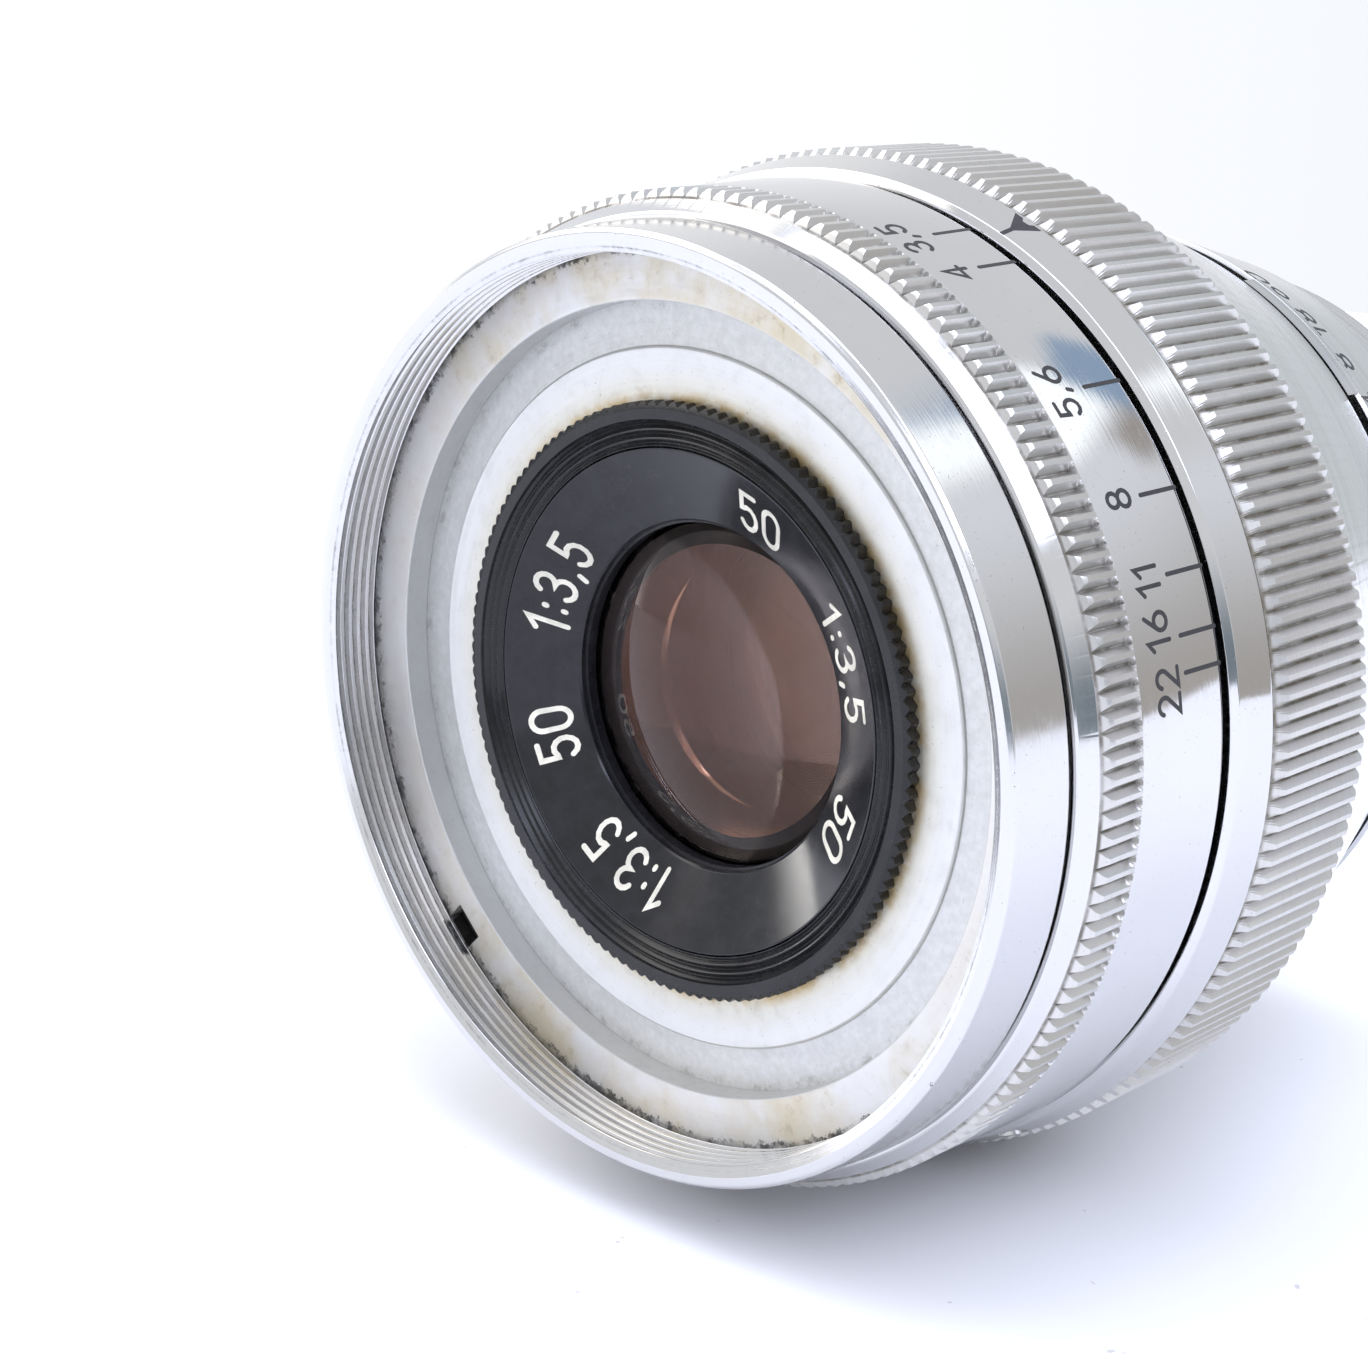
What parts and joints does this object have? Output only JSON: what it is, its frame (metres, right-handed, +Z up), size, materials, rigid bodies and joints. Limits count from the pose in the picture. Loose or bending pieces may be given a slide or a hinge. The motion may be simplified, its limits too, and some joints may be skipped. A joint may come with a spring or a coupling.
{
  "type": "lens",
  "caption": "Chromed helical-focus lens with a click-free aperture ring, threaded front cup, six-leaf iris and a threaded rear flange mount.",
  "frame": {"origin": "on the optical axis, in the rear face of the mount flange", "axes": "+Y along the optical axis from the front rim to the rear thread, +Z up, +X to the right seen from the front"},
  "size_m": [0.0474, 0.0465, 0.0474],
  "materials": {
    "chrome": "satin",
    "brass": "satin",
    "lacquered_ring": "satin",
    "grey_alloy": "satin",
    "black_enamel": "gloss",
    "front_glass": "gloss",
    "steel": "satin",
    "blued_steel": "matte"
  },
  "bodies": {
    "mount": {"rear_mount": "chrome", "number_ring": "chrome", "number_ring_screw": "steel", "guide_key": "steel", "focus_retainer": "brass", "focus_stop_screw": "steel"},
    "focusing": {"focus_ring": "chrome", "focus_stop_pin": "steel"},
    "head": {"index_band": "chrome", "front_barrel": "chrome", "head_sleeve": "brass", "cup_retainer": "lacquered_ring", "step_ring": "grey_alloy", "front_cell": "black_enamel", "name_ring": "black_enamel", "rear_cell": "black_enamel", "iris_plate": "black_enamel", "iris_cover": "black_enamel", "glass_spacer": "black_enamel", "front_cell_retainer": "black_enamel", "rear_cell_retainer": "black_enamel", "front_glass": "front_glass", "middle_glass": "front_glass", "rear_glass_a": "front_glass", "rear_glass_b": "front_glass", "index_band_screw": "steel"},
    "aperture": {"aperture_ring": "chrome", "aperture_drive_screw": "steel", "iris_cam_ring": "blued_steel"},
    "iris_blade_1": {"iris_blade_1": "blued_steel"},
    "iris_blade_2": {"iris_blade_2": "blued_steel"},
    "iris_blade_3": {"iris_blade_3": "blued_steel"},
    "iris_blade_4": {"iris_blade_4": "blued_steel"},
    "iris_blade_5": {"iris_blade_5": "blued_steel"},
    "iris_blade_6": {"iris_blade_6": "blued_steel"}
  },
  "joints": [
    {"name": "focus_turn", "type": "hinge", "parent": "mount", "child": "focusing", "pos_m": [0, -0.017, 0], "axis": [0, -1, 0], "range_deg": [0, 270]},
    {"name": "head_slide", "type": "slide", "parent": "mount", "child": "head", "axis": [0, -1, 0], "range_m": [0, 0.0054]},
    {"name": "aperture_turn", "type": "hinge", "parent": "head", "child": "aperture", "pos_m": [0, -0.03108, 0], "axis": [0, 1, 0], "range_deg": [-52.9, 2.8]},
    {"name": "blade_1_swing", "type": "hinge", "parent": "head", "child": "iris_blade_1", "pos_m": [0.013, -0.0291, 0], "axis": [0, 1, 0], "range_deg": [-1.3, 23.8]},
    {"name": "blade_2_swing", "type": "hinge", "parent": "head", "child": "iris_blade_2", "pos_m": [0.0065, -0.0291, -0.01126], "axis": [0, 1, 0], "range_deg": [-1.3, 23.8]},
    {"name": "blade_3_swing", "type": "hinge", "parent": "head", "child": "iris_blade_3", "pos_m": [-0.0065, -0.0291, -0.01126], "axis": [0, 1, 0], "range_deg": [-1.3, 23.8]},
    {"name": "blade_4_swing", "type": "hinge", "parent": "head", "child": "iris_blade_4", "pos_m": [-0.013, -0.0291, 0], "axis": [0, 1, 0], "range_deg": [-1.3, 23.8]},
    {"name": "blade_5_swing", "type": "hinge", "parent": "head", "child": "iris_blade_5", "pos_m": [-0.0065, -0.0291, 0.01126], "axis": [0, 1, 0], "range_deg": [-1.3, 23.8]},
    {"name": "blade_6_swing", "type": "hinge", "parent": "head", "child": "iris_blade_6", "pos_m": [0.0065, -0.0291, 0.01126], "axis": [0, 1, 0], "range_deg": [-1.3, 23.8]}
  ],
  "couplings": [
    {"joint": "head_slide", "follows": "focus_turn", "m_per_rad": 0.0011459},
    {"joint": "blade_1_swing", "follows": "aperture_turn", "ratio": -0.4488},
    {"joint": "blade_2_swing", "follows": "aperture_turn", "ratio": -0.4488},
    {"joint": "blade_3_swing", "follows": "aperture_turn", "ratio": -0.4488},
    {"joint": "blade_4_swing", "follows": "aperture_turn", "ratio": -0.4488},
    {"joint": "blade_5_swing", "follows": "aperture_turn", "ratio": -0.4488},
    {"joint": "blade_6_swing", "follows": "aperture_turn", "ratio": -0.4488}
  ]
}
